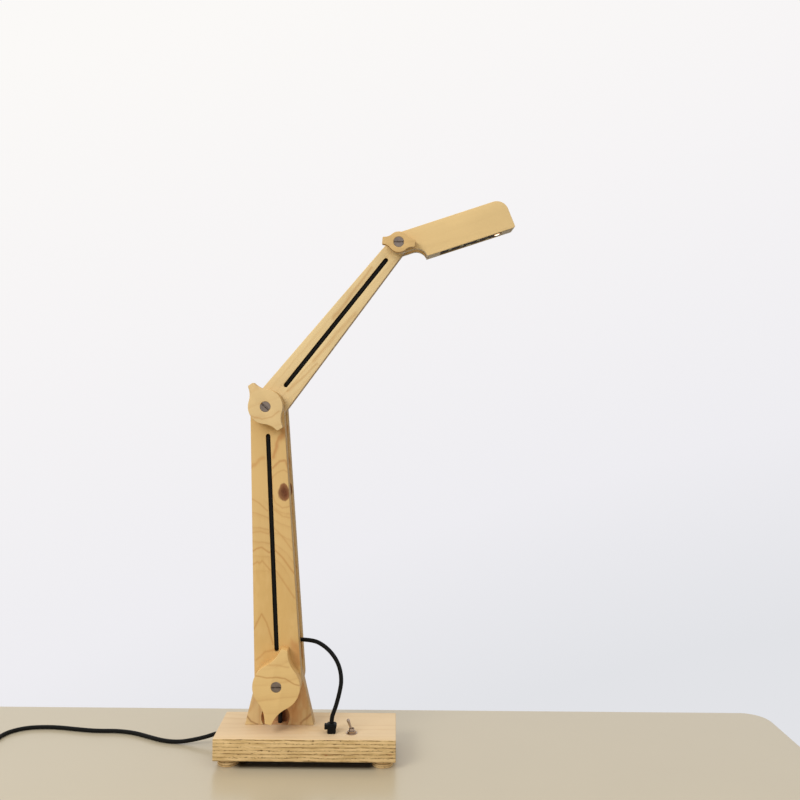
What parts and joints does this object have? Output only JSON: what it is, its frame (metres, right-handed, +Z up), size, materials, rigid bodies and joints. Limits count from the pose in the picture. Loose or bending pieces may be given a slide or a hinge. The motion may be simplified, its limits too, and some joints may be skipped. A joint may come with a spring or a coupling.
{
  "type": "accordion desk lamp",
  "caption": "Folding wooden desk lamp: plywood base, post, paired lower arm, single upper arm and slim LED head, clamped by wooden winged knobs.",
  "frame": {"origin": "on the table, under the middle of the lamp's box (its base, arms and head, without the cord)", "axes": "+Z up, +X towards the side the head points to, -Y towards the front with the knobs"},
  "size_m": [0.6615, 0.1071, 0.6102],
  "materials": {
    "base_ply": "sanded plywood with an oiled face, dark and pale ply lines on its edges",
    "foot_wood": "sanded wood discs",
    "post_wood": "warm oiled plywood with strong curved grain",
    "arm_wood": "oiled plywood with long grain",
    "head_wood": "oiled plywood, fine grain",
    "knob_wood": "oiled hardwood with wavy grain",
    "steel": "dull zinc-plated slotted screws, nuts and washers",
    "black_steel": "blackened bolt",
    "black_aluminium": "black anodised bar",
    "led_board": "white circuit board",
    "led_lens": "clear lens, lit warm white",
    "black_plastic": "matt black moulding",
    "plated_metal": "nickel-plated metal",
    "cable": "smooth matt black cable jacket"
  },
  "bodies": {
    "base": {"base_block": "base_ply", "base_cover": "base_ply", "cover_screws": "steel", "foot_front_left": "foot_wood", "foot_front_right": "foot_wood", "foot_rear_left": "foot_wood", "foot_rear_right": "foot_wood", "pivot_post": "post_wood", "post_bolt": "black_steel", "post_bolt_washer": "steel", "cable_clamp": "black_plastic", "cable_tie": "black_plastic", "switch_body": "black_plastic", "switch_bushing": "plated_metal", "switch_washer": "plated_metal", "switch_nut": "plated_metal", "terminal_block": "black_plastic", "lead_inner": "cable", "arm_cable_inner": "cable", "supply_lead": "cable", "lead_coil": "cable", "plug_body": "black_plastic", "plug_barrel": "plated_metal", "arm_cable_loop": "cable"},
    "switch_lever": {"switch_lever": "plated_metal"},
    "lower_arm": {"lower_arm_front": "arm_wood", "lower_arm_rear": "arm_wood", "lower_arm_cable": "cable", "lower_pivot_nut": "steel", "lower_pivot_washer": "steel", "elbow_pivot_nut": "steel", "elbow_pivot_washer": "steel", "elbow_cable_loop": "cable"},
    "upper_arm": {"upper_arm_board": "arm_wood", "upper_arm_cable": "cable", "head_cable_loop": "cable"},
    "head": {"head_front_plate": "head_wood", "head_rear_plate": "head_wood", "head_core": "head_wood", "led_heat_sink": "black_aluminium", "led_board": "led_board", "led_lens": "led_lens", "head_cable_inner": "cable", "head_pivot_nut": "steel", "head_pivot_washer": "steel"},
    "lower_knob": {"lower_knob": "knob_wood", "lower_pivot_bolt": "steel"},
    "elbow_knob": {"elbow_knob": "knob_wood", "elbow_pivot_bolt": "steel"},
    "head_knob": {"head_knob": "knob_wood", "head_pivot_bolt": "steel"}
  },
  "joints": [
    {"name": "lower_pivot", "type": "hinge", "parent": "base", "child": "lower_arm", "pos_m": [-0.0943, 0.0075, 0.0835], "axis": [0, -1, 0], "range_deg": [-45, 40], "deforming": ["arm_cable_loop"]},
    {"name": "elbow_pivot", "type": "hinge", "parent": "lower_arm", "child": "upper_arm", "pos_m": [-0.10895, 0.0075, 0.38314], "axis": [0, -1, 0], "range_deg": [-95, 60], "deforming": ["elbow_cable_loop"]},
    {"name": "head_tilt", "type": "hinge", "parent": "upper_arm", "child": "head", "pos_m": [0.03266, 0.0075, 0.5631], "axis": [0, -1, 0], "range_deg": [-55, 50], "deforming": ["head_cable_loop"]},
    {"name": "lower_knob_turn", "type": "hinge", "parent": "lower_arm", "child": "lower_knob", "pos_m": [-0.0943, -0.022, 0.0835], "axis": [0, -1, 0], "continuous": true},
    {"name": "elbow_knob_turn", "type": "hinge", "parent": "lower_arm", "child": "elbow_knob", "pos_m": [-0.10895, -0.02, 0.38314], "axis": [0, -1, 0], "continuous": true},
    {"name": "head_knob_turn", "type": "hinge", "parent": "head", "child": "head_knob", "pos_m": [0.03266, -0.011, 0.5631], "axis": [0, -1, 0], "continuous": true},
    {"name": "switch_flip", "type": "hinge", "parent": "base", "child": "switch_lever", "pos_m": [-0.0135, -0.021, 0.0349], "axis": [0, -1, 0], "range_deg": [-38, 0]}
  ]
}
